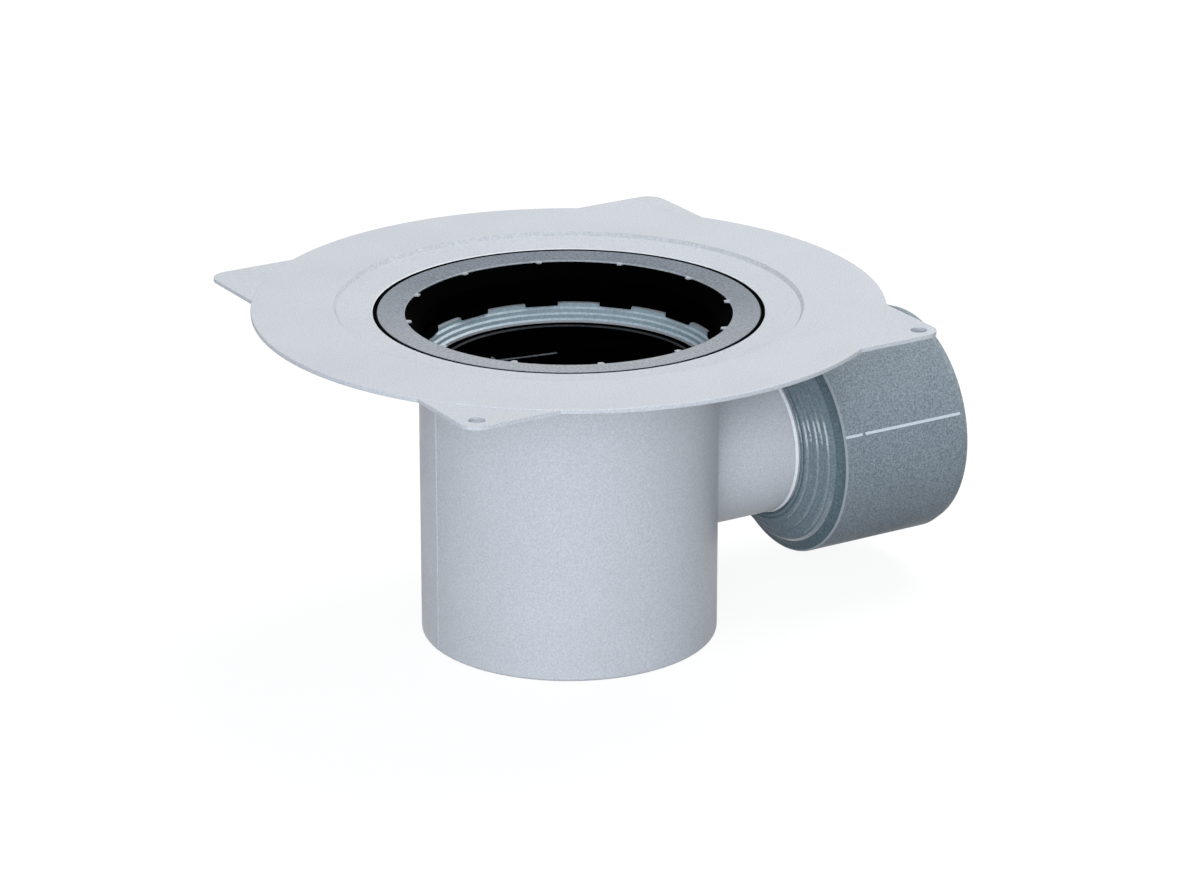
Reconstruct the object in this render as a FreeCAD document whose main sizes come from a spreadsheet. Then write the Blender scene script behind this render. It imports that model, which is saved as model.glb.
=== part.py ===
import FreeCAD, Part
import math
import os
import re

import Sketcher

# Floor drain body for a side outlet, with its riser seal, its odour trap and its outlet adapter.
# Millimetres. The origin is on the pot's axis at its underside, +Z is up, +X is the way out.

# Driving dimensions, kept in the document's spreadsheet.
SIZES = {
    # Pot and flange. Depths are measured down from the top of the flange.
    "overall_height": 109.5,
    "pot_radius": 47.6,
    "pot_wall": 3.1,
    "floor_thickness": 3.0,
    "base_round": 1.0,
    "flange_radius": 100.0,
    "flange_thickness": 3.2,
    "rim_thickness": 1.5,
    "rim_bevel": 6.0,
    "rim_round": 0.35,
    "step_radius": 74.0,
    "step_bevel": 1.0,
    "step_depth": 1.2,
    "dish_depth": 2.1,
    "recess_radius": 61.8,
    "recess_bevel": 0.3,
    "recess_depth": 4.1,
    "recess_wall": 2.6,
    "collar_radius": 57.4,
    "collar_depth": 16.0,
    "cone_depth": 20.5,
    # Ears: the corners of a square plate that stand out of the round flange.
    "ear_plate_side": 169.0,
    "ear_corner_round": 6.0,
    "ear_drop": 0.2,
    "ear_thickness": 1.2,
    "fixing_hole_radius": 2.6,
    "fixing_circle_radius": 111.5,
    # Stepped band between the seal and the trap.
    "band_radius": 47.2,
    "band_depth": 16.0,
    "band_tread": 0.9,
    "band_riser": 1.2,
    "trap_seat_depth": 29.0,
    "trap_seat_width": 1.2,
    "trap_seat_height": 2.0,
    # Outlet stub.
    "stub_height": 51.2,
    "stub_radius": 25.0,
    "stub_wall": 2.5,
    "stub_reach": 96.0,
    "stub_lead_in": 1.2,
    "bead_length": 0.9,
    "bead_height": 0.4,
    "bead_gap": 0.3,
    # Mould seam on the pot, turned from the outlet.
    "seam_angle": 177.6,
    "seam_half_angle": 0.6,
    "seam_height": 0.25,
    "seam_foot": 1.2,
    "seam_length": 86.0,
    # Retainer ring over the seal.
    "ring_outer_radius": 60.5,
    "ring_inner_radius": 51.7,
    "ring_thickness": 1.0,
    "ring_slope": 0.5,
    "ring_outer_bevel": 0.25,
    "ring_inner_bevel": 0.15,
    "nib_reach": 1.5,
    "nib_width": 2.6,
    "nib_tip_width": 1.4,
    "nib_floor": 0.05,
    "nib_thickness": 0.4,
    "nib_angle": 10.0,
    # Riser seal.
    "seal_outer_radius": 55.0,
    "seal_flange_radius": 61.7,
    "seal_rim_radius": 60.6,
    "seal_flange_thickness": 0.8,
    "seal_lip_radius": 47.5,
    "seal_top_radius": 50.9,
    "seal_lip_top": 8.4,
    "seal_lip_bottom": 3.8,
    "seal_root_radius": 48.7,
    "seal_undercut": 0.5,
    "lug_reach": 1.5,
    "lug_width": 10.6,
    "lug_height": 2.4,
    "lug_hang": 0.5,
    "lug_gap": 0.3,
    "lug_root": 1.0,
    # Trap: funnel with its dip tube, O-ring and cup.
    "trap_angle": -10.0,
    "trap_height": 7.5,
    "trap_radius": 44.2,
    "trap_rim_radius": 41.6,
    "trap_rim_break": 0.4,
    "trap_lip": 0.5,
    "trap_lip_foot": 3.2,
    "trap_lip_lean": 0.8,
    "trap_skirt_radius": 41.8,
    "trap_throat_radius": 35.3,
    "trap_throat_drop": 6.6,
    "cone_drop": 13.0,
    "dip_tube_radius": 22.5,
    "dip_tube_wall": 2.0,
    "dip_tube_length": 68.5,
    "groove_radius": 42.0,
    "groove_top": 2.2,
    "groove_bottom": 5.0,
    "handle_width": 4.0,
    "handle_rise": 6.0,
    "handle_thickness": 3.2,
    "handle_flat": 25.0,
    "handle_edge": 0.35,
    "handle_foot_radius": 41.2,
    "handle_foot_drop": 2.0,
    "knob_radius": 5.0,
    "knob_rise": 0.6,
    "cup_radius": 36.0,
    "cup_wall": 2.0,
    "cup_height": 61.0,
    "cup_drop": 18.5,
    "cup_base_bevel": 3.0,
    "cup_inner_bevel": 1.0,
    "sleeve_wall": 1.8,
    "sleeve_length": 15.0,
    "web_thickness": 2.0,
    # Outlet adapter. Lengths are measured from its mouth.
    "mouth_place": 71.4,
    "mouth_radius": 26.4,
    "dome_length": 10.3,
    "dome_step": 0.6,
    "ridge_height": 0.45,
    "cove_depth": 0.45,
    "spigot_radius": 37.5,
    "spigot_wall": 2.2,
    "spigot_drop": 3.3,
    "adapter_length": 58.6,
    "start_round": 0.6,
    "chamfer_length": 2.8,
    "chamfer_depth": 1.0,
    "cavity_start": 12.6,
    "cavity_cone": 8.4,
    "cavity_cone_radius": 30.0,
    "socket_clearance": 0.15,
    "socket_depth": 24.8,
    "socket_wall": 2.5,
    "socket_stop": 2.4,
    "groove_place": 3.4,
    "groove_length": 3.4,
    "groove_depth": 2.25,
    "mouth_lead": 0.85,
    "lip_length": 1.2,
    # Mould seam along the spigot, turned up from -Y about the spigot's axis.
    "spigot_seam_angle": 18.0,
    "spigot_seam_half_angle": 0.7,
    "spigot_seam_height": 0.15,
    "spigot_seam_break": 6.4,
    "spigot_seam_gap": 1.2,
    "cut_margin": 1.0,
}

# Counts and angles of what repeats.
NIB_COUNT = 12
WEB_COUNT = 4
BAND_STEPS = 3
# The adapter's shoulder, in shares of the way from its mouth to its spigot.
RIDGE_PLACES = (0.13, 0.36, 0.60)
RIDGE_HALF_WIDTH = 0.09
RIDGE_RISES = ((-1, 0), (-0.5, 0.75), (0, 1), (0.5, 0.75), (1, 0))
COVE_PLACES = (0.78, 0.92)

doc = FreeCAD.newDocument("floor_drain")
sheet = doc.addObject("Spreadsheet::Sheet", "sheet")
for row, (alias, value) in enumerate(SIZES.items(), start=1):
    sheet.set(f"A{row}", alias)
    sheet.set(f"B{row}", str(value))
    sheet.setAlias(f"B{row}", alias)
doc.recompute()


def cells(formula):
    """Turn a formula in plain aliases into one that names the sheet's cells."""
    return re.sub(r"[a-z]+(_[a-z]+)+", lambda word: f"sheet.{word[0]}", formula)


def bind(thing, path, formula):
    thing.setExpression(path, cells(formula))


def new_body(label, base=("0", "0", "0"), angle="0"):
    """A body whose place is bound to the sheet: base is a corner of formulas, angle turns about Z."""
    body = doc.addObject("PartDesign::Body", label)
    body.Label = label
    for axis, formula in zip("xyz", base):
        bind(body, f"Placement.Base.{axis}", formula)
    bind(body, "Placement.Rotation.Angle", angle)
    return body


def origin_feature(body, role):
    return next(feature for feature in body.Origin.OriginFeatures if feature.Role == role)


def new_sketch(body, name, plane, offset=None):
    """A sketch on one of the body's origin planes; offset maps x, y or z to a formula."""
    sketch = body.newObject("Sketcher::SketchObject", name)
    sketch.AttachmentSupport = (origin_feature(body, plane), [""])
    sketch.MapMode = "FlatFace"
    for axis, formula in (offset or {}).items():
        bind(sketch, f"AttachmentOffset.Base.{axis}", formula)
    return sketch


def pin_point(sketch, geometry, vertex, place):
    """Hold a vertex at two formulas, measured from the sketch's origin."""
    for kind, formula in zip(("DistanceX", "DistanceY"), place):
        index = sketch.addConstraint(Sketcher.Constraint(kind, -1, 1, geometry, vertex, 1.0))
        bind(sketch, f"Constraints[{index}]", formula)


def draw_outline(sketch, corners):
    """A closed outline of straight lines through corners, each a pair of formulas."""
    count = len(corners)
    start = [FreeCAD.Vector(10 * math.cos(math.tau * i / count), 10 * math.sin(math.tau * i / count), 0)
             for i in range(count)]
    for i in range(count):
        sketch.addGeometry(Part.LineSegment(start[i], start[(i + 1) % count]), False)
    for i in range(count):
        sketch.addConstraint(Sketcher.Constraint("Coincident", i, 2, (i + 1) % count, 1))
    for i, corner in enumerate(corners):
        pin_point(sketch, i, 1, corner)


def draw_circle(sketch, centre, radius):
    circle = sketch.addGeometry(Part.Circle(FreeCAD.Vector(1, 1, 0), FreeCAD.Vector(0, 0, 1), 1), False)
    pin_point(sketch, circle, 3, centre)
    index = sketch.addConstraint(Sketcher.Constraint("Radius", circle, 1.0))
    bind(sketch, f"Constraints[{index}]", radius)


def turn(body, name, corners, axis="V_Axis", cut=False, offset=None):
    """Turn an outline drawn on the XZ plane about one of the sketch's axes."""
    sketch = new_sketch(body, f"{name}_outline", "XZ_Plane", offset)
    draw_outline(sketch, corners)
    kind = "PartDesign::Groove" if cut else "PartDesign::Revolution"
    feature = body.newObject(kind, name)
    feature.Profile = sketch
    feature.ReferenceAxis = (sketch, [axis])
    feature.Angle = 360.0
    body.Tip = feature
    doc.recompute()
    return feature


def extrude(body, name, sketch, length, cut=False, midplane=False, backwards=False):
    kind = "PartDesign::Pocket" if cut else "PartDesign::Pad"
    feature = body.newObject(kind, name)
    feature.Profile = sketch
    bind(feature, "Length", length)
    feature.Midplane = midplane
    feature.Reversed = backwards
    body.Tip = feature
    doc.recompute()
    return feature


def repeat_round(body, name, feature, count):
    """Copies of a feature at equal angles round the body's Z axis."""
    pattern = body.newObject("PartDesign::PolarPattern", name)
    pattern.Originals = [feature]
    pattern.Axis = (origin_feature(body, "Z_Axis"), [""])
    pattern.Angle = 360.0
    pattern.Occurrences = count
    body.Tip = pattern
    doc.recompute()
    return pattern


def dress_edges(body, kind, name, size, wanted):
    """Fillet or chamfer the edges of the body's tip that the test wanted picks."""
    base = body.Tip
    names = [f"Edge{i}" for i, edge in enumerate(base.Shape.Edges, start=1) if wanted(edge)]
    feature = body.newObject(f"PartDesign::{kind}", name)
    feature.Base = (base, names)
    bind(feature, "Radius" if kind == "Fillet" else "Size", size)
    body.Tip = feature
    doc.recompute()
    return feature


def is_ring_edge(edge, radius, height):
    """Whether an edge is a horizontal circle of this radius about Z at this height."""
    if not isinstance(edge.Curve, Part.Circle):
        return False
    centre = edge.Curve.Center
    on_axis = math.hypot(centre.x, centre.y) < 0.01
    return on_axis and abs(edge.Curve.Radius - radius) < 0.01 and abs(centre.z - height) < 0.01


def is_upright_edge(edge, least_radius):
    """Whether an edge is vertical and lies at least this far from the Z axis."""
    ends = [vertex.Point for vertex in edge.Vertexes]
    if len(ends) != 2:
        return False
    upright = math.hypot(ends[0].x - ends[1].x, ends[0].y - ends[1].y) < 0.001
    return upright and math.hypot(ends[0].x, ends[0].y) > least_radius


def draw_rib(sketch, centre, radius, rise, angle, half_angle):
    """Outline of a thin rib on a round wall, given the wall's centre and radius."""
    across, up = centre
    corners = []
    for reach, side in ((f"{radius} - {rise}", "-"), (f"{radius} + {rise}", "-"),
                        (f"{radius} + {rise}", "+"), (f"{radius} - {rise}", "+")):
        turned = f"({angle} {side} {half_angle}) * 1 deg"
        corners.append((f"{across} + ({reach}) * cos({turned})", f"{up} + ({reach}) * sin({turned})"))
    draw_outline(sketch, corners)


def below_top(formula):
    return f"overall_height - ({formula})"


def make_drain_body():
    """Pot, collar, flange with ears and outlet stub, moulded in one piece."""
    body = new_body("drain_body")
    recess_outside = "recess_radius + recess_wall"
    recess_underside = below_top("recess_depth + recess_wall")
    flange_underside = below_top("flange_thickness")
    turn(body, "outer_form", [
        ("0", "0"),
        ("pot_radius", "0"),
        ("pot_radius", below_top("cone_depth")),
        ("collar_radius", below_top("collar_depth")),
        ("collar_radius", recess_underside),
        (recess_outside, recess_underside),
        (recess_outside, flange_underside),
        ("flange_radius - rim_bevel", flange_underside),
        ("flange_radius", below_top("rim_thickness")),
        ("flange_radius", "overall_height"),
        ("0", "overall_height"),
    ])
    height = SIZES["overall_height"]
    rim_heights = (height, height - SIZES["rim_thickness"])
    dress_edges(body, "Fillet", "rim_edges", "rim_round", lambda edge: any(
        is_ring_edge(edge, SIZES["flange_radius"], level) for level in rim_heights))
    dress_edges(body, "Fillet", "base_edge", "base_round",
                lambda edge: is_ring_edge(edge, SIZES["pot_radius"], 0))

    plate = new_sketch(body, "ear_plate_outline", "XY_Plane", {"z": below_top("ear_drop + ear_thickness")})
    half = "ear_plate_side / 2"
    minus_half = "0 - ear_plate_side / 2"
    draw_outline(plate, [(minus_half, minus_half), (half, minus_half), (half, half), (minus_half, half)])
    extrude(body, "ear_plate", plate, "ear_thickness")
    dress_edges(body, "Fillet", "ear_corners", "ear_corner_round",
                lambda edge: is_upright_edge(edge, SIZES["flange_radius"] + SIZES["ear_corner_round"]))

    stub = new_sketch(body, "stub_outline", "YZ_Plane")
    draw_circle(stub, ("0", "stub_height"), "stub_radius")
    extrude(body, "stub", stub, "stub_reach")
    dress_edges(body, "Chamfer", "stub_lead_in", "stub_lead_in", lambda edge: (
        isinstance(edge.Curve, Part.Circle) and abs(edge.Curve.Center.x - SIZES["stub_reach"]) < 0.01))

    bead_end = "mouth_place - bead_gap"
    bead_root = "stub_radius - stub_wall / 2"
    turn(body, "stub_bead", [
        (f"{bead_end} - bead_length", bead_root),
        (f"{bead_end} - bead_length", "stub_radius"),
        (bead_end, "stub_radius + bead_height"),
        (bead_end, bead_root),
    ], axis="H_Axis", offset={"y": "stub_height"})
    seam = new_sketch(body, "seam_outline", "XY_Plane", {"z": "seam_foot"})
    draw_rib(seam, ("0", "0"), "pot_radius", "seam_height", "seam_angle", "seam_half_angle")
    extrude(body, "seam", seam, "seam_length")

    seat = "(pot_radius - pot_wall)"
    bead = f"{seat} - trap_seat_width"
    bead_foot = "trap_seat_depth + trap_seat_height"
    band_pitch = "(band_riser + band_tread / 2)"
    steps = []
    for step in range(BAND_STEPS):
        radius = f"{seat} + (band_radius - {seat}) * {step + 1} / {BAND_STEPS}"
        riser_top = f"band_depth + {band_pitch} * {BAND_STEPS - 1 - step}"
        steps += [(radius, below_top(f"{riser_top} + band_riser")), (radius, below_top(riser_top))]
    turn(body, "inner_form", [
        ("0", "floor_thickness"),
        (seat, "floor_thickness"),
        (seat, below_top(f"{bead_foot} + trap_seat_width")),
        (bead, below_top(bead_foot)),
        (bead, below_top("trap_seat_depth")),
        (seat, below_top("trap_seat_depth")),
        (seat, below_top(f"band_depth + {band_pitch} * {BAND_STEPS}")),
        *steps,
        ("seal_outer_radius", below_top("band_depth")),
        ("seal_outer_radius", below_top("recess_depth")),
        ("recess_radius", below_top("recess_depth")),
        ("recess_radius", below_top("dish_depth + recess_bevel")),
        ("recess_radius + recess_bevel", below_top("dish_depth")),
        ("step_radius - step_bevel", below_top("step_depth")),
        ("step_radius", "overall_height"),
        ("0", "overall_height"),
    ], cut=True)

    bore = new_sketch(body, "stub_bore_outline", "YZ_Plane")
    draw_circle(bore, ("0", "stub_height"), "stub_radius - stub_wall")
    extrude(body, "stub_bore", bore, "stub_reach + stub_wall", cut=True, backwards=True)

    holes = new_sketch(body, "fixing_hole_outlines", "XY_Plane", {"z": "overall_height"})
    across = "fixing_circle_radius * cos(45 deg)"
    for along in (across, f"0 - {across}"):
        draw_circle(holes, (along, f"0 - {across}"), "fixing_hole_radius")
    extrude(body, "fixing_holes", holes, "flange_thickness", cut=True)
    return body


def make_retainer_ring():
    """Grey ring in the flange's recess, with nibs that reach in over the seal's bore."""
    base = ("0", "0", below_top("recess_depth - seal_flange_thickness"))
    body = new_body("retainer_ring", base, "nib_angle")
    inner_top = "ring_thickness - ring_slope"
    turn(body, "ring", [
        ("ring_inner_radius", "0"),
        ("ring_outer_radius", "0"),
        ("ring_outer_radius", "ring_thickness - ring_outer_bevel"),
        ("ring_outer_radius - ring_outer_bevel", "ring_thickness"),
        ("ring_inner_radius + ring_inner_bevel", inner_top),
        ("ring_inner_radius", f"{inner_top} - ring_inner_bevel"),
    ])
    outline = new_sketch(body, "nib_outline", "XY_Plane", {"z": "nib_floor"})
    root = "ring_inner_radius + ring_inner_bevel"
    tip = "ring_inner_radius - nib_reach"
    draw_outline(outline, [
        (root, "0 - nib_width / 2"),
        (root, "nib_width / 2"),
        (tip, "nib_tip_width / 2"),
        (tip, "0 - nib_tip_width / 2"),
    ])
    nib = extrude(body, "nib", outline, "nib_thickness")
    repeat_round(body, "nibs", nib, NIB_COUNT)
    return body


def make_riser_seal():
    """Black lip seal whose rim takes the ring, with stop lugs at its foot for the riser."""
    base = ("0", "0", below_top("band_depth"))
    body = new_body("riser_seal", base, "nib_angle")
    flange_foot = "band_depth - recess_depth"
    seal_top = f"{flange_foot} + seal_flange_thickness"
    turn(body, "lip_ring", [
        ("seal_root_radius", "0"),
        ("seal_outer_radius", "0"),
        ("seal_outer_radius", flange_foot),
        ("seal_flange_radius", flange_foot),
        ("seal_flange_radius", f"{seal_top} + ring_thickness"),
        ("seal_rim_radius", f"{seal_top} + ring_thickness"),
        ("seal_rim_radius", seal_top),
        ("seal_top_radius", seal_top),
        ("seal_lip_radius", "seal_lip_top"),
        ("seal_lip_radius", "seal_lip_bottom"),
        ("seal_root_radius", "seal_lip_bottom - seal_undercut"),
    ])
    outline = new_sketch(body, "lug_outline", "XZ_Plane")
    tip = "seal_lip_radius - lug_reach"
    root = "seal_root_radius + lug_root"
    hang_face = "band_radius - lug_gap"
    draw_outline(outline, [
        (root, "0"),
        (root, "lug_height - lug_hang"),
        (tip, "lug_height - lug_hang * 2"),
        (tip, "0 - lug_hang"),
        (hang_face, "0 - lug_hang"),
        (hang_face, "0"),
    ])
    lug = extrude(body, "lug", outline, "lug_width", midplane=True)
    repeat_round(body, "lugs", lug, NIB_COUNT)
    return body


def make_trap_funnel():
    """Black funnel that sits in the pot, with its dip tube and its lifting handle."""
    base = ("0", "0", below_top("trap_seat_depth"))
    body = new_body("trap_funnel", base, "trap_angle")
    rim = "trap_height"
    tube_bore = "dip_tube_radius - dip_tube_wall"
    lip_foot_radius = "trap_rim_radius - trap_lip - trap_lip_lean"
    turn(body, "funnel", [
        ("trap_radius", "0"),
        ("trap_radius", f"{rim} - groove_bottom"),
        ("groove_radius", f"{rim} - groove_bottom"),
        ("groove_radius", f"{rim} - groove_top"),
        ("trap_radius", f"{rim} - groove_top"),
        ("trap_radius", f"{rim} - trap_rim_break"),
        ("trap_radius - trap_rim_break", rim),
        ("trap_rim_radius", rim),
        ("trap_rim_radius - trap_lip", f"{rim} - trap_lip"),
        (lip_foot_radius, f"{rim} - trap_lip_foot"),
        ("trap_throat_radius", f"{rim} - trap_throat_drop"),
        (tube_bore, f"{rim} - cone_drop + dip_tube_wall"),
        (tube_bore, f"{rim} - dip_tube_length"),
        ("dip_tube_radius", f"{rim} - dip_tube_length"),
        ("dip_tube_radius", f"{rim} - cone_drop - dip_tube_wall"),
        ("trap_skirt_radius", "0 - dip_tube_wall"),
        ("trap_skirt_radius", "0"),
    ])
    outline = new_sketch(body, "handle_outline", "XZ_Plane")
    top = f"{rim} + handle_rise"
    foot = f"{rim} - handle_foot_drop"
    inner_flat = "handle_flat - handle_thickness / 3"
    draw_outline(outline, [
        ("handle_foot_radius", f"{foot} - handle_thickness"),
        ("handle_foot_radius", foot),
        ("handle_flat", top),
        ("0 - handle_flat", top),
        ("0 - handle_foot_radius", foot),
        ("0 - handle_foot_radius", f"{foot} - handle_thickness"),
        (f"0 - ({inner_flat})", f"{top} - handle_thickness"),
        (inner_flat, f"{top} - handle_thickness"),
    ])
    extrude(body, "handle", outline, "handle_width", midplane=True)
    top_height = SIZES["trap_height"] + SIZES["handle_rise"]
    dress_edges(body, "Chamfer", "handle_edges", "handle_edge", lambda edge: (
        edge.Length > SIZES["handle_flat"]
        and all(abs(vertex.Z - top_height) < 0.01 for vertex in edge.Vertexes)))
    knob = new_sketch(body, "knob_outline", "XY_Plane", {"z": f"{top} - handle_thickness"})
    draw_circle(knob, ("0", "0"), "knob_radius")
    extrude(body, "knob", knob, "handle_thickness + knob_rise")
    return body


def make_trap_o_ring():
    """O-ring in the funnel's groove, drawn as it sits against the pot's wall."""
    ring = doc.addObject("Part::Torus", "trap_o_ring")
    ring.Label = "trap_o_ring"
    seat = "pot_radius - pot_wall"
    bind(ring, "Radius1", f"({seat} + groove_radius) / 2")
    bind(ring, "Radius2", f"({seat} - groove_radius) / 2")
    groove_middle = "trap_height - (groove_top + groove_bottom) / 2"
    bind(ring, "Placement.Base.z", f"{below_top('trap_seat_depth')} + {groove_middle}")
    return ring


def make_trap_cup():
    """Black cup that holds the water seal, pushed on the dip tube by its inner sleeve."""
    rim_height = f"{below_top('trap_seat_depth')} + trap_height - cup_drop"
    base = ("0", "0", f"{rim_height} - cup_height")
    body = new_body("trap_cup", base, "trap_angle")
    inside = "cup_radius - cup_wall"
    turn(body, "cup", [
        ("0", "0"),
        ("cup_radius - cup_base_bevel", "0"),
        ("cup_radius", "cup_base_bevel"),
        ("cup_radius", "cup_height"),
        (inside, "cup_height"),
        (inside, "cup_base_bevel"),
        (f"{inside} - cup_inner_bevel", "cup_wall"),
        ("0", "cup_wall"),
    ])
    sleeve_foot = "cup_height - sleeve_length"
    web = new_sketch(body, "web_outline", "XZ_Plane")
    web_inside = "dip_tube_radius + sleeve_wall / 2"
    web_outside = "cup_radius - cup_wall / 2"
    draw_outline(web, [
        (web_inside, sleeve_foot),
        (web_outside, sleeve_foot),
        (web_outside, "cup_height"),
        (web_inside, "cup_height"),
    ])
    first_web = extrude(body, "web", web, "web_thickness", midplane=True)
    repeat_round(body, "webs", first_web, WEB_COUNT)
    turn(body, "sleeve", [
        ("dip_tube_radius", sleeve_foot),
        ("dip_tube_radius + sleeve_wall", sleeve_foot),
        ("dip_tube_radius + sleeve_wall", "cup_height"),
        ("dip_tube_radius", "cup_height"),
    ])
    return body


def dome_sections():
    """Places along the adapter's shoulder from 0 to 1, each with the size that lifts it and its share."""
    sections = [(0, "ridge_height", 0), (1, "ridge_height", 0)]
    sections += [(place, "cove_depth", -1) for place in COVE_PLACES]
    for middle in RIDGE_PLACES:
        sections += [(middle + RIDGE_HALF_WIDTH * side, "ridge_height", rise) for side, rise in RIDGE_RISES]
    return sorted(sections)


def make_outlet_adapter():
    """Grey adapter pushed over the stub: ridged shoulder, wide spigot set low, inner socket."""
    body = new_body("outlet_adapter", ("mouth_place", "0", "stub_height"))
    dome_radius = "spigot_radius - dome_step"
    circles = []
    for index, (place, lift, share) in enumerate(dome_sections()):
        lifted = f"{lift} * ({share}) * cos(45 deg)"
        along = f"dome_length * {place} - {lifted}"
        circle = new_sketch(body, f"dome_outline_{index}", "YZ_Plane", {"z": along})
        radius = f"mouth_radius + ({dome_radius} - mouth_radius) * {place} + {lifted}"
        draw_circle(circle, ("0", f"0 - spigot_drop * {place}"), radius)
        circles.append(circle)
    doc.recompute()
    dome = body.newObject("PartDesign::AdditiveLoft", "dome")
    dome.Profile = circles[0]
    dome.Sections = circles[1:]
    dome.Ruled = True
    body.Tip = dome
    doc.recompute()

    low_axis = {"y": "0 - spigot_drop"}
    bore = "spigot_radius - spigot_wall"
    turn(body, "spigot", [
        ("dome_length", "0"),
        ("dome_length", "spigot_radius - start_round"),
        ("dome_length + start_round * (1 - cos(45 deg))", "spigot_radius - start_round * (1 - cos(45 deg))"),
        ("dome_length + start_round", "spigot_radius"),
        ("adapter_length - chamfer_length", "spigot_radius"),
        ("adapter_length", "spigot_radius - chamfer_depth"),
        ("adapter_length", "0"),
    ], axis="H_Axis", offset=low_axis)
    turn(body, "spigot_bore", [
        ("cavity_cone", "0"),
        ("cavity_cone", "cavity_cone_radius"),
        ("cavity_start", bore),
        ("adapter_length + cut_margin", bore),
        ("adapter_length + cut_margin", "0"),
    ], axis="H_Axis", cut=True, offset=low_axis)
    socket = "stub_radius + socket_clearance"
    socket_outside = f"{socket} + socket_wall"
    socket_end = "socket_depth + socket_stop"
    turn(body, "socket_sleeve", [
        ("cavity_cone - cut_margin", "0"),
        ("cavity_cone - cut_margin", socket_outside),
        (socket_end, socket_outside),
        (socket_end, "0"),
    ], axis="H_Axis")
    seal_end = "groove_place + groove_length"
    stop_bore = "stub_radius - stub_wall"
    turn(body, "socket", [
        ("0 - cut_margin", "0"),
        ("0 - cut_margin", f"{socket} + mouth_lead + cut_margin"),
        ("mouth_lead", socket),
        ("groove_place", socket),
        ("groove_place", f"{socket} + groove_depth"),
        (seal_end, f"{socket} + groove_depth"),
        (seal_end, socket),
        ("socket_depth", socket),
        ("socket_depth", stop_bore),
        (f"{socket_end} + cut_margin", stop_bore),
        (f"{socket_end} + cut_margin", "0"),
    ], axis="H_Axis", cut=True)

    seam_start = "dome_length + start_round"
    seam_length = f"adapter_length - chamfer_length - ({seam_start})"
    break_end = "spigot_seam_break + spigot_seam_gap"
    seam_parts = ((seam_start, "spigot_seam_break"),
                  (f"{seam_start} + {break_end}", f"{seam_length} - ({break_end})"))
    for index, (start, length) in enumerate(seam_parts):
        seam = new_sketch(body, f"seam_outline_{index}", "YZ_Plane", {"z": start})
        draw_rib(seam, ("0", "0 - spigot_drop"), "spigot_radius", "spigot_seam_height",
                 "180 - spigot_seam_angle", "spigot_seam_half_angle")
        extrude(body, f"seam_{index}", seam, length)
    return body


def make_adapter_seal():
    """Black lip ring in the adapter's groove, drawn as it bears on the stub."""
    body = new_body("adapter_seal", ("mouth_place + groove_place", "0", "stub_height"))
    outside = "stub_radius + socket_clearance + groove_depth"
    turn(body, "lip_ring", [
        ("0", outside),
        ("groove_length", outside),
        ("groove_length", "stub_radius + lip_length"),
        ("groove_length / 2 + lip_length / 2", "stub_radius"),
        ("groove_length / 2 - lip_length / 2", "stub_radius"),
        ("0", "stub_radius + lip_length"),
    ], axis="H_Axis")
    return body


nodes = [
    make_drain_body(),
    make_retainer_ring(),
    make_riser_seal(),
    make_trap_funnel(),
    make_trap_o_ring(),
    make_trap_cup(),
    make_outlet_adapter(),
    make_adapter_seal(),
]
doc.recompute()

for thing in doc.Objects:
    if "Invalid" in thing.State or "Error" in thing.State:
        raise RuntimeError(f"{thing.Name} did not build: {thing.State}")
os.makedirs("parts", exist_ok=True)
for node in nodes:
    if node.Shape.isNull() or not node.Shape.isValid():
        raise RuntimeError(f"{node.Label} has no valid shape")
    node.Shape.exportStep(f"parts/{node.Label}.step")
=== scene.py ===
import math

import bpy
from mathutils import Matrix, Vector


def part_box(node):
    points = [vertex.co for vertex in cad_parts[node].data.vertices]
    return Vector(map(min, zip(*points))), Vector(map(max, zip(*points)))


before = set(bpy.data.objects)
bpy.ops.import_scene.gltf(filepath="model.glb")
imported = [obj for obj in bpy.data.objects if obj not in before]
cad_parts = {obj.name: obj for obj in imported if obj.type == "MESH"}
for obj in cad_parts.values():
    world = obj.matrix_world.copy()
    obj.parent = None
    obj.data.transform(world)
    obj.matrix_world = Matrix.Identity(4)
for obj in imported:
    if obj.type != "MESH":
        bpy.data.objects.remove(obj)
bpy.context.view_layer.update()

# Real sizes in metres, read from the frame.
BODY_LOW, BODY_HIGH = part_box("drain_body")
ADAPTER_LOW, ADAPTER_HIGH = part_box("outlet_adapter")
TRAP_LOW, TRAP_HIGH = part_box("trap_funnel")
STUB_SEAL_LOW, STUB_SEAL_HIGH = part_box("adapter_seal")
FLANGE_TOP = BODY_HIGH.z
MILLIMETRE = 0.001

# The camera that took the photograph, as fitted to the flange, the pot and the outlet.
CAMERA_DISTANCE = 1.4286
CAMERA_ELEVATION = math.radians(18.45)
OUTLET_TURN = math.radians(31.0)
FOCAL_LENGTH = 138.3
SENSOR_WIDTH = 36.0
FARTHEST_SEEN = 100.0
AIM_RIGHT = 0.00675
AIM_DOWN = 0.0437

# The floor: half its width, its own grey, and how strongly it glows where it is seen.
FLOOR_HALF_WIDTH = 6.0
FLOOR_GREY = (0.16, 0.16, 0.16, 1.0)
FLOOR_ROUGHNESS = 0.9
FLOOR_GLOW = 0.90

# The studio: its soft light, the elevations at which its white wall ends and its ceiling begins, and the
# ceiling's strength.
WHITE = (1.0, 1.0, 1.0, 1.0)
SOFT_LIGHT_COLOUR = (0.95, 1.03, 1.09, 1.0)
SOFT_LIGHT_STRENGTH = 0.42
WALL_TOP = math.radians(15)
CEILING_FOOT = math.radians(24)
CEILING_GLOW = 0.2

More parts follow.
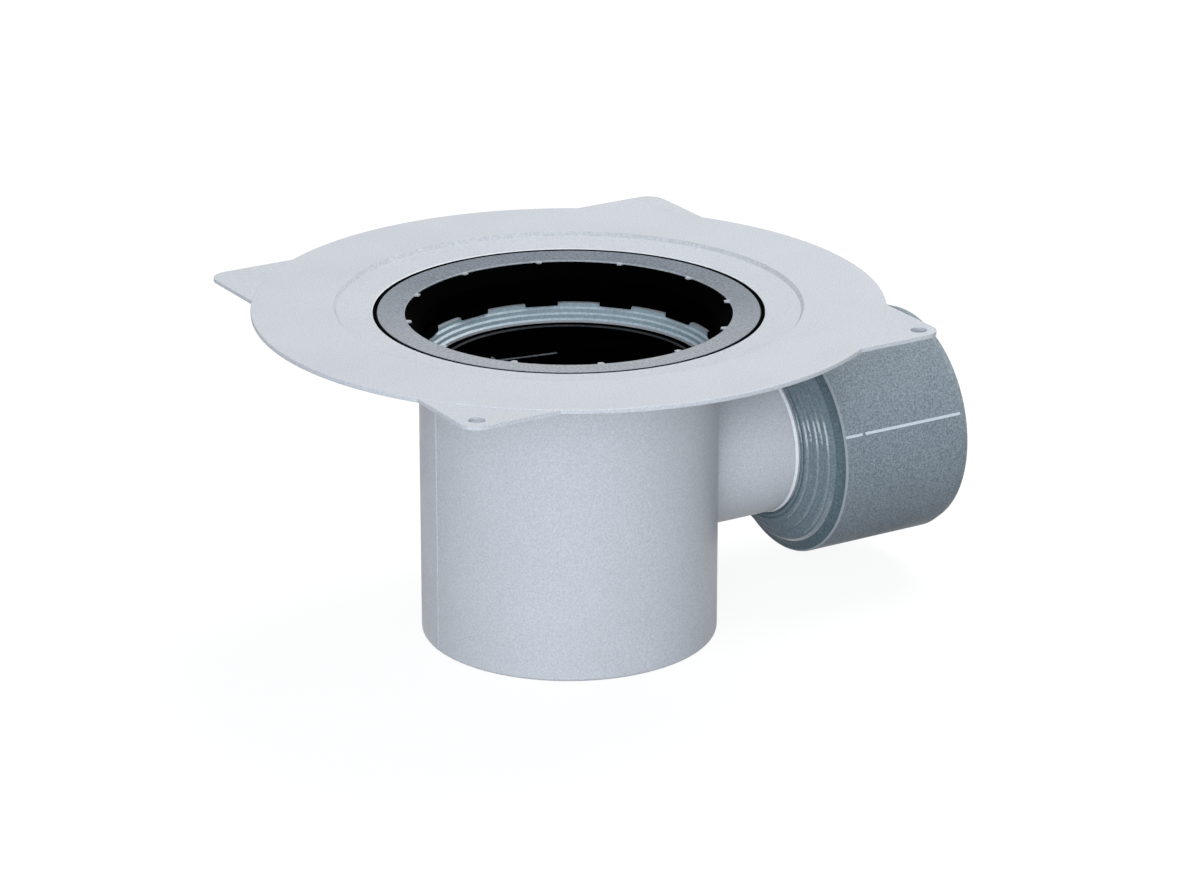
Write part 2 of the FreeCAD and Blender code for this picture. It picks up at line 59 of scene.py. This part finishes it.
# The softboxes: how far each stands to the photograph's right, forward and up from the object's middle, how
# wide it is, its power in watts and its colour.
FRONT_SOFTBOX = {"right": -0.18, "forward": -1.6, "up": 0.20, "width": 1.4, "power": 27.0,
                 "colour": (0.94, 1.0, 1.07)}
TOP_SOFTBOX = {"right": 0.60, "forward": 0.75, "up": 1.6, "width": 1.2, "power": 21.0,
               "colour": (1.0, 0.985, 0.98)}

# Colours of the plastics, as linear red, green and blue. The pot, the ring, the adapter and the trap are each
# of one plastic; the white and the lighter greys for edges, treads, seam, chamfer, lip and handle edge are
# painted highlights, and the darker greys for the flange's step, the band's risers and the adapter's
# shoulder, ridges and cove are painted shade.
LIGHT_GREY = (0.622, 0.636, 0.672)
HIGHLIGHT_WHITE = (0.860, 0.870, 0.890)
STEP_SHADE_GREY = (0.570, 0.576, 0.598)
RISER_SHADE_GREY = (0.430, 0.540, 0.600)
TREAD_HIGHLIGHT_GREY = (0.710, 0.810, 0.870)
RING_GREY = (0.203, 0.232, 0.268)
RING_EDGE_HIGHLIGHT_GREY = (0.420, 0.450, 0.480)
PIPE_GREY = (0.262, 0.302, 0.332)
PIPE_EDGE_HIGHLIGHT_GREY = (0.380, 0.410, 0.435)
CHAMFER_HIGHLIGHT_GREY = (0.310, 0.352, 0.382)
SHOULDER_SHADE_GREY = (0.185, 0.235, 0.264)
RIDGE_SHADE_GREY = (0.205, 0.250, 0.278)
COVE_SHADE_GREY = (0.118, 0.162, 0.185)
SEAM_HIGHLIGHT_GREY = (0.700, 0.740, 0.780)
RUBBER_BLACK = (0.0005, 0.0005, 0.0006)
TRAP_BLACK = (0.0005, 0.0005, 0.0006)
TRAP_LIP_HIGHLIGHT_GREY = (0.040, 0.044, 0.048)
TRAP_EDGE_HIGHLIGHT_GREY = (0.110, 0.118, 0.125)

# What all the plastics share: the widths of their blotches, how uneven their sheen is, how deep their relief
# shows, and the part of a noise's range that is used.
MOTTLE_SIZE = 30 * MILLIMETRE
SHEEN_PATCH_SIZE = 16 * MILLIMETRE
SHEEN_SPREAD = 0.15
RELIEF_STRENGTH = 0.6
NOISE_DETAIL = 2.0
NOISE_LOW = 0.25
NOISE_HIGH = 0.75

# Edges sharper than this are shaded sharp.
SHARP_EDGE_ANGLE = math.radians(30)


def new_material(name):
    """An empty node material; returns the material, its nodes, its links and its shader."""
    material = bpy.data.materials.new(name)
    material.use_nodes = True
    nodes = material.node_tree.nodes
    shader = nodes["Principled BSDF"]
    return material, nodes, material.node_tree.links, shader


def noise(nodes, links, coordinates, feature_size):
    """A noise whose blotches are about this many metres wide."""
    texture = nodes.new("ShaderNodeTexNoise")
    texture.inputs["Scale"].default_value = 1.0 / feature_size
    texture.inputs["Detail"].default_value = NOISE_DETAIL
    links.new(coordinates, texture.inputs["Vector"])
    return texture.outputs["Fac"]


def ease(nodes, links, value, from_range, to_range):
    """Ease a value from one range into another."""
    mapping = nodes.new("ShaderNodeMapRange")
    mapping.interpolation_type = "SMOOTHSTEP"
    mapping.inputs["From Min"].default_value = from_range[0]
    mapping.inputs["From Max"].default_value = from_range[1]
    mapping.inputs["To Min"].default_value = to_range[0]
    mapping.inputs["To Max"].default_value = to_range[1]
    links.new(value, mapping.inputs["Value"])
    return mapping.outputs["Result"]


def uneven(nodes, links, coordinates, feature_size, middle, spread):
    """A value that drifts about its middle by up to the spread, a share of it, in blotches of this size."""
    blotches = noise(nodes, links, coordinates, feature_size)
    to_range = (middle * (1 - spread), middle * (1 + spread))
    return ease(nodes, links, blotches, (NOISE_LOW, NOISE_HIGH), to_range)


def multiply(nodes, links, first, second):
    product = nodes.new("ShaderNodeMath")
    product.operation = "MULTIPLY"
    links.new(first, product.inputs[0])
    links.new(second, product.inputs[1])
    return product.outputs["Value"]


def moulded_plastic(name, colour, roughness, specular, mottle=0.02, grain=0.05,
                    grain_size=0.9 * MILLIMETRE, relief=0.04 * MILLIMETRE):
    """Moulded plastic: broad mottling, a fine visible grain, an uneven sheen and a faint eroded relief."""
    material, nodes, links, shader = new_material(name)
    coordinates = nodes.new("ShaderNodeTexCoord").outputs["Object"]
    broad = uneven(nodes, links, coordinates, MOTTLE_SIZE, 1.0, mottle)
    fine = uneven(nodes, links, coordinates, grain_size, 1.0, grain)
    tint = nodes.new("ShaderNodeVectorMath")
    tint.operation = "SCALE"
    tint.inputs["Vector"].default_value = colour
    links.new(multiply(nodes, links, broad, fine), tint.inputs["Scale"])
    links.new(tint.outputs["Vector"], shader.inputs["Base Color"])
    sheen = uneven(nodes, links, coordinates, SHEEN_PATCH_SIZE, roughness, SHEEN_SPREAD)
    links.new(sheen, shader.inputs["Roughness"])
    shader.inputs["Specular IOR Level"].default_value = specular
    bump = nodes.new("ShaderNodeBump")
    bump.inputs["Strength"].default_value = RELIEF_STRENGTH
    bump.inputs["Distance"].default_value = relief
    links.new(noise(nodes, links, coordinates, grain_size / 2), bump.inputs["Height"])
    links.new(bump.outputs["Normal"], shader.inputs["Normal"])
    return material


# The pot, with painted highlights in white on the broken edge of its recess and on the stub's bead, painted
# shade on the flange's step, and, on the band in its bore, painted shade on the risers and painted highlights
# on the treads.
BODY_PLASTIC = moulded_plastic("body_plastic", LIGHT_GREY, roughness=0.45, specular=0.30,
                               grain=0.11, grain_size=0.55 * MILLIMETRE)
BODY_EDGE_HIGHLIGHT = moulded_plastic("body_edge_painted_highlight", HIGHLIGHT_WHITE, roughness=0.45, specular=0.30)
BODY_STEP_SHADE = moulded_plastic("body_step_painted_shade", STEP_SHADE_GREY, roughness=0.45, specular=0.30, grain=0.12)
BODY_RISER_SHADE = moulded_plastic("body_riser_painted_shade", RISER_SHADE_GREY, roughness=0.20, specular=0.50, grain=0.12)
BODY_TREAD_HIGHLIGHT = moulded_plastic("body_tread_painted_highlight", TREAD_HIGHLIGHT_GREY, roughness=0.20, specular=0.50, grain=0.12)

# The ring, glossier than the pot, and its inner edge and nibs, painted lighter as a highlight.
RING_PLASTIC = moulded_plastic("ring_plastic", RING_GREY, roughness=0.16, specular=0.85,
                               mottle=0.06, grain=0.25, relief=0.02 * MILLIMETRE)
RING_EDGE_HIGHLIGHT = moulded_plastic("ring_edge_painted_highlight", RING_EDGE_HIGHLIGHT_GREY, roughness=0.30, specular=0.50, grain=0.12)

# The adapter: a dull spigot with painted highlights on the edge at its start, its chamfer and its seam, and a
# shoulder in painted shade, with glossy ridges a little lighter as painted highlights and a cove and mouth
# face in deeper painted shade.
ADAPTER_PLASTIC = moulded_plastic("adapter_plastic", PIPE_GREY, roughness=0.35, specular=0.01,
                                  mottle=0.03, grain=0.30, grain_size=0.6 * MILLIMETRE)
ADAPTER_EDGE_HIGHLIGHT = moulded_plastic("adapter_edge_painted_highlight", PIPE_EDGE_HIGHLIGHT_GREY, roughness=0.35, specular=0.01)
ADAPTER_CHAMFER_HIGHLIGHT = moulded_plastic("adapter_chamfer_painted_highlight", CHAMFER_HIGHLIGHT_GREY, roughness=0.35, specular=0.01,
                                  grain=0.22)
ADAPTER_SHOULDER_SHADE = moulded_plastic("adapter_shoulder_painted_shade", SHOULDER_SHADE_GREY, roughness=0.35, specular=0.02,
                                   grain=0.22, grain_size=0.7 * MILLIMETRE)
ADAPTER_RIDGE_SHADE = moulded_plastic("adapter_ridge_painted_shade", RIDGE_SHADE_GREY, roughness=0.22, specular=0.60,
                                grain=0.22, grain_size=0.7 * MILLIMETRE)
ADAPTER_COVE_SHADE = moulded_plastic("adapter_cove_painted_shade", COVE_SHADE_GREY, roughness=0.35, specular=0.02,
                               grain=0.22, grain_size=0.7 * MILLIMETRE)
ADAPTER_SEAM_HIGHLIGHT = moulded_plastic("adapter_seam_painted_highlight", SEAM_HIGHLIGHT_GREY, roughness=0.30, specular=0.10)

# The rubber seals and the black trap, with painted highlights on the trap's lip and on one half of its
# handle's edge.
SEAL_RUBBER = moulded_plastic("seal_rubber", RUBBER_BLACK, roughness=0.75, specular=0.005,
                              mottle=0.2, grain=0.2)
TRAP_PLASTIC = moulded_plastic("trap_plastic", TRAP_BLACK, roughness=0.35, specular=0.0,
                               mottle=0.2, grain=0.2)
TRAP_EDGE_HIGHLIGHT = moulded_plastic("trap_edge_painted_highlight", TRAP_EDGE_HIGHLIGHT_GREY, roughness=0.25, specular=0.20,
                            mottle=0.2, grain=0.2)
TRAP_LIP_HIGHLIGHT = moulded_plastic("trap_lip", TRAP_LIP_HIGHLIGHT_GREY, roughness=0.25, specular=0.20,
                           mottle=0.2, grain=0.2)

FINISH = {
    "drain_body": BODY_PLASTIC,
    "retainer_ring": RING_PLASTIC,
    "riser_seal": SEAL_RUBBER,
    "trap_funnel": TRAP_PLASTIC,
    "trap_o_ring": SEAL_RUBBER,
    "trap_cup": TRAP_PLASTIC,
    "outlet_adapter": ADAPTER_PLASTIC,
    "adapter_seal": SEAL_RUBBER,
}

# How far up a face's normal points, from 0 for an upright wall to 1 for a level top.
STEEP = 0.3
BEVELLED = 0.5
NEARLY_LEVEL = 0.9
# How far along the outlet a face's normal points, from -1 towards the pot to 1 away from it.
SQUARE_TO_POT = -0.9
LEANING_TO_POT = -0.2
TURNED_TO_POT = -0.1
LEANING_AWAY = 0.2
SQUARE_AWAY = 0.9
# A face whose normal points less than this across the outlet is square to it.
LEAST_ACROSS = 0.1

# The band in the pot's bore, by depths below the flange's top.
BAND_TOP = 15.9 * MILLIMETRE
BAND_FOOT = 21.1 * MILLIMETRE
BAND_RADIUS = 47.4 * MILLIMETRE
# The flange's step, the broken edge of its recess and the inner edge of the ring that lies there.
STEP_RADIUS = 73.5 * MILLIMETRE
STEP_HALF_WIDTH = 0.5 * MILLIMETRE
RECESS_EDGE_RADIUS = 61.95 * MILLIMETRE
RECESS_EDGE_HALF_WIDTH = 0.2 * MILLIMETRE
RING_EDGE_RADIUS = 51.9 * MILLIMETRE
# The stub: its axis, its radius, and the bead that stands proud of it just before the adapter's mouth.
STUB_AXIS_HEIGHT = (STUB_SEAL_LOW.z + STUB_SEAL_HIGH.z) / 2
STUB_RADIUS = 25.0 * MILLIMETRE
BEAD_PLACE = 1.3 * MILLIMETRE
BEAD_HEIGHT = 0.5 * MILLIMETRE
LEAST_RISE = 0.05 * MILLIMETRE
# The adapter's shoulder: its length, the share of it that its mouth takes and the share at which its cove
# starts, and the slopes between which its ridges shine.
SHOULDER_LENGTH = 10.3 * MILLIMETRE
MOUTH_SHARE = 0.1
COVE_START = 0.80
RIDGE_STEEP = -0.68
RIDGE_FLAT = -0.50
# The adapter's spigot: its axis and radius, and how deep its chamfer and the edge at its start reach.
SPIGOT_RADIUS = (ADAPTER_HIGH.y - ADAPTER_LOW.y) / 2
SPIGOT_AXIS_HEIGHT = (ADAPTER_HIGH.z + ADAPTER_LOW.z) / 2
CHAMFER_DEPTH = 1.05 * MILLIMETRE
START_EDGE_DEPTH = 0.7 * MILLIMETRE
# The trap: the bevelled inner edge of its funnel's rim, and the broken edges along the top of its handle.
FUNNEL_LIP_INSET = 2.85 * MILLIMETRE
FUNNEL_LIP_RADIUS = (TRAP_HIGH.y - TRAP_LOW.y) / 2 - FUNNEL_LIP_INSET
FUNNEL_LIP_HALF_WIDTH = 0.3 * MILLIMETRE
HANDLE_EDGE_DEPTH = 1.2 * MILLIMETRE
HANDLE_EDGE_END = -4 * MILLIMETRE


def axis_reach(centre):
    """How far a point lies from the pot's axis."""
    return math.hypot(centre.x, centre.y)


def spigot_reach(centre):
    """How far a point lies from the spigot's axis."""
    return math.hypot(centre.y, centre.z - SPIGOT_AXIS_HEIGHT)


def shoulder_share(centre):
    """How far a point is along the adapter's shoulder, from 0 at its mouth to 1 at its spigot."""
    return (centre.x - ADAPTER_LOW.x) / SHOULDER_LENGTH


def is_band(centre, normal):
    """Whether a face is on the stepped band round the pot's bore, between the seal and the trap."""
    return BAND_TOP < FLANGE_TOP - centre.z < BAND_FOOT and axis_reach(centre) < BAND_RADIUS


def is_tread(centre, normal):
    """Whether a face is on one of the band's sloping treads."""
    return is_band(centre, normal) and normal.z > STEEP


def is_step(centre, normal):
    """Whether a face is on the low step round the flange's dish."""
    on_circle = abs(axis_reach(centre) - STEP_RADIUS) < STEP_HALF_WIDTH
    return on_circle and STEEP < normal.z < NEARLY_LEVEL


def is_recess_edge(centre, normal):
    """Whether a face is on the broken edge of the recess that the ring lies in."""
    on_circle = abs(axis_reach(centre) - RECESS_EDGE_RADIUS) < RECESS_EDGE_HALF_WIDTH
    return on_circle and BEVELLED < normal.z < NEARLY_LEVEL


def is_bead(centre, normal):
    """Whether a face is on the bead round the stub, just before the adapter's mouth."""
    before_mouth = 0 < ADAPTER_LOW.x - centre.x < BEAD_PLACE
    rise = math.hypot(centre.y, centre.z - STUB_AXIS_HEIGHT) - STUB_RADIUS
    return before_mouth and LEAST_RISE < rise < BEAD_HEIGHT


def is_ring_edge(centre, normal):
    """Whether a face is on the ring's inner edge or on one of its nibs."""
    return axis_reach(centre) < RING_EDGE_RADIUS


def is_shoulder(centre, normal):
    """Whether a face is on the outside of the adapter's shoulder."""
    turned = normal.x < TURNED_TO_POT and math.hypot(normal.y, normal.z) > LEAST_ACROSS
    return turned and shoulder_share(centre) < 1


def is_ridge(centre, normal):
    """Whether a face is on the part of one of the shoulder's ridges that shines."""
    before_cove = is_shoulder(centre, normal) and shoulder_share(centre) < COVE_START
    return before_cove and RIDGE_STEEP < normal.x < RIDGE_FLAT


def is_cove(centre, normal):
    """Whether a face is in the hollow round the shoulder's wide end or on the mouth's end face."""
    at_mouth = shoulder_share(centre) < MOUTH_SHARE and normal.x < SQUARE_TO_POT
    in_hollow = is_shoulder(centre, normal) and shoulder_share(centre) > COVE_START
    return at_mouth or in_hollow


def is_start_edge(centre, normal):
    """Whether a face is on the rounded edge at which the spigot starts, next to the shoulder."""
    return spigot_reach(centre) > SPIGOT_RADIUS - START_EDGE_DEPTH and normal.x < LEANING_TO_POT


def is_chamfer(centre, normal):
    """Whether a face is on the chamfer round the spigot's open end."""
    at_outside = spigot_reach(centre) > SPIGOT_RADIUS - CHAMFER_DEPTH
    return at_outside and LEANING_AWAY < normal.x < SQUARE_AWAY


def is_seam(centre, normal):
    """Whether a face stands proud of the spigot, as its mould seam does."""
    return spigot_reach(centre) > SPIGOT_RADIUS + LEAST_RISE


# Only this half of the handle's top edge gets the painted highlight streak.
def is_handle_edge(centre, normal):
    """Whether a face is a broken edge along the top of the trap's handle, on its far side from the outlet."""
    near_top = centre.z > TRAP_HIGH.z - HANDLE_EDGE_DEPTH
    return near_top and BEVELLED < normal.z < NEARLY_LEVEL and centre.x < HANDLE_EDGE_END


def is_funnel_lip(centre, normal):
    """Whether a face is on the bevelled inner edge of the funnel's rim."""
    on_circle = abs(axis_reach(centre) - FUNNEL_LIP_RADIUS) < FUNNEL_LIP_HALF_WIDTH
    return on_circle and BEVELLED < normal.z < NEARLY_LEVEL


# Faces with a material of their own, which paints a highlight or shade on them. Where two tests pick a face,
# the later one counts.
FACE_PAINTED_LIGHT = {
    "drain_body": ((BODY_RISER_SHADE, is_band), (BODY_TREAD_HIGHLIGHT, is_tread), (BODY_STEP_SHADE, is_step),
                   (BODY_EDGE_HIGHLIGHT, is_recess_edge), (BODY_EDGE_HIGHLIGHT, is_bead)),
    "retainer_ring": ((RING_EDGE_HIGHLIGHT, is_ring_edge),),
    "outlet_adapter": ((ADAPTER_SHOULDER_SHADE, is_shoulder), (ADAPTER_RIDGE_SHADE, is_ridge), (ADAPTER_COVE_SHADE, is_cove),
                       (ADAPTER_EDGE_HIGHLIGHT, is_start_edge), (ADAPTER_CHAMFER_HIGHLIGHT, is_chamfer),
                       (ADAPTER_SEAM_HIGHLIGHT, is_seam)),
    "trap_funnel": ((TRAP_EDGE_HIGHLIGHT, is_handle_edge), (TRAP_LIP_HIGHLIGHT, is_funnel_lip)),
}


def paint(piece, material):
    """Give a piece one material, shaded smooth but for its sharp edges."""
    piece.data.materials.clear()
    piece.data.materials.append(material)
    for polygon in piece.data.polygons:
        polygon.use_smooth = True
    piece.data.set_sharp_from_angle(angle=SHARP_EDGE_ANGLE)


def paint_faces(piece, material, wanted):
    """Give the faces that the test wanted picks, by their centre and normal, a material of their own."""
    piece.data.materials.append(material)
    turned = piece.matrix_world.to_3x3()
    for polygon in piece.data.polygons:
        if wanted(piece.matrix_world @ polygon.center, (turned @ polygon.normal).normalized()):
            polygon.material_index = len(piece.data.materials) - 1


def seen_ray(nodes, links):
    """1 for rays that show the surroundings: the camera's, and those in gloss and glass."""
    path = nodes.new("ShaderNodeLightPath")
    total = path.outputs["Is Camera Ray"]
    for kind in ("Is Glossy Ray", "Is Transmission Ray"):
        either = nodes.new("ShaderNodeMath")
        either.operation = "MAXIMUM"
        links.new(total, either.inputs[0])
        links.new(path.outputs[kind], either.inputs[1])
        total = either.outputs["Value"]
    return total


def make_floor():
    """A wide pale floor that reads as white where it is lit and still takes the object's shadow."""
    half = FLOOR_HALF_WIDTH
    mesh = bpy.data.meshes.new("floor")
    corners = [(-half, -half, 0), (half, -half, 0), (half, half, 0), (-half, half, 0)]
    mesh.from_pydata(corners, [], [(0, 1, 2, 3)])
    floor = bpy.data.objects.new("floor", mesh)
    bpy.context.scene.collection.objects.link(floor)
    material, nodes, links, shader = new_material("floor_paper")
    shader.inputs["Base Color"].default_value = FLOOR_GREY
    shader.inputs["Roughness"].default_value = FLOOR_ROUGHNESS
    shader.inputs["Specular IOR Level"].default_value = 0.0
    shader.inputs["Emission Color"].default_value = WHITE
    glow = nodes.new("ShaderNodeMath")
    glow.operation = "MULTIPLY"
    glow.inputs[1].default_value = FLOOR_GLOW
    links.new(seen_ray(nodes, links), glow.inputs[0])
    links.new(glow.outputs["Value"], shader.inputs["Emission Strength"])
    mesh.materials.append(material)


def make_world():
    """Even soft light all round, with a white wall where the surroundings are seen and a duller ceiling."""
    world = bpy.data.worlds.new("studio")
    bpy.context.scene.world = world
    world.use_nodes = True
    nodes = world.node_tree.nodes
    links = world.node_tree.links
    soft = nodes["Background"]
    soft.inputs["Color"].default_value = SOFT_LIGHT_COLOUR
    soft.inputs["Strength"].default_value = SOFT_LIGHT_STRENGTH
    white = nodes.new("ShaderNodeBackground")
    white.inputs["Color"].default_value = WHITE
    direction = nodes.new("ShaderNodeSeparateXYZ")
    links.new(nodes.new("ShaderNodeTexCoord").outputs["Generated"], direction.inputs["Vector"])
    heights = (math.sin(WALL_TOP), math.sin(CEILING_FOOT))
    wall = ease(nodes, links, direction.outputs["Z"], heights, (1.0, CEILING_GLOW))
    links.new(wall, white.inputs["Strength"])
    mix = nodes.new("ShaderNodeMixShader")
    links.new(seen_ray(nodes, links), mix.inputs["Fac"])
    links.new(soft.outputs["Background"], mix.inputs[1])
    links.new(white.outputs["Background"], mix.inputs[2])
    links.new(mix.outputs["Shader"], nodes["World Output"].inputs["Surface"])


def view_axes():
    """The photograph's right, up and forward directions at the flange, in the part's frame."""
    forward = Vector((math.cos(CAMERA_ELEVATION) * math.sin(OUTLET_TURN),
                      math.cos(CAMERA_ELEVATION) * math.cos(OUTLET_TURN),
                      -math.sin(CAMERA_ELEVATION)))
    right = forward.cross(Vector((0, 0, 1))).normalized()
    return right, right.cross(forward), forward


def make_camera():
    right, up, forward = view_axes()
    flange_centre = Vector((0, 0, FLANGE_TOP))
    lens = bpy.data.cameras.new("camera")
    lens.lens = FOCAL_LENGTH
    lens.sensor_width = SENSOR_WIDTH
    lens.clip_end = FARTHEST_SEEN
    camera = bpy.data.objects.new("camera", lens)
    camera.location = flange_centre - forward * CAMERA_DISTANCE
    aim = flange_centre + right * AIM_RIGHT - up * AIM_DOWN
    camera.rotation_euler = (aim - camera.location).to_track_quat("-Z", "Y").to_euler()
    bpy.context.scene.collection.objects.link(camera)
    bpy.context.scene.camera = camera


def add_softbox(name, softbox):
    """A round softbox that stands where its values say and is turned to the object's middle."""
    right, up, forward = view_axes()
    level_forward = Vector((forward.x, forward.y, 0)).normalized()
    middle = Vector((0, 0, FLANGE_TOP / 2))
    place = middle + level_forward * softbox["forward"] + right * softbox["right"]
    place.z += softbox["up"]
    light = bpy.data.lights.new(name, "AREA")
    light.shape = "DISK"
    light.size = softbox["width"]
    light.energy = softbox["power"]
    light.color = softbox["colour"]
    lamp = bpy.data.objects.new(name, light)
    lamp.location = place
    lamp.rotation_euler = (middle - place).to_track_quat("-Z", "Y").to_euler()
    bpy.context.scene.collection.objects.link(lamp)


for node, material in FINISH.items():
    paint(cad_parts[node], material)
for node, finishes in FACE_PAINTED_LIGHT.items():
    for material, wanted in finishes:
        paint_faces(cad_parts[node], material, wanted)

make_floor()
make_world()
make_camera()
add_softbox("front_softbox", FRONT_SOFTBOX)
add_softbox("top_softbox", TOP_SOFTBOX)
bpy.context.scene.view_settings.view_transform = "Standard"
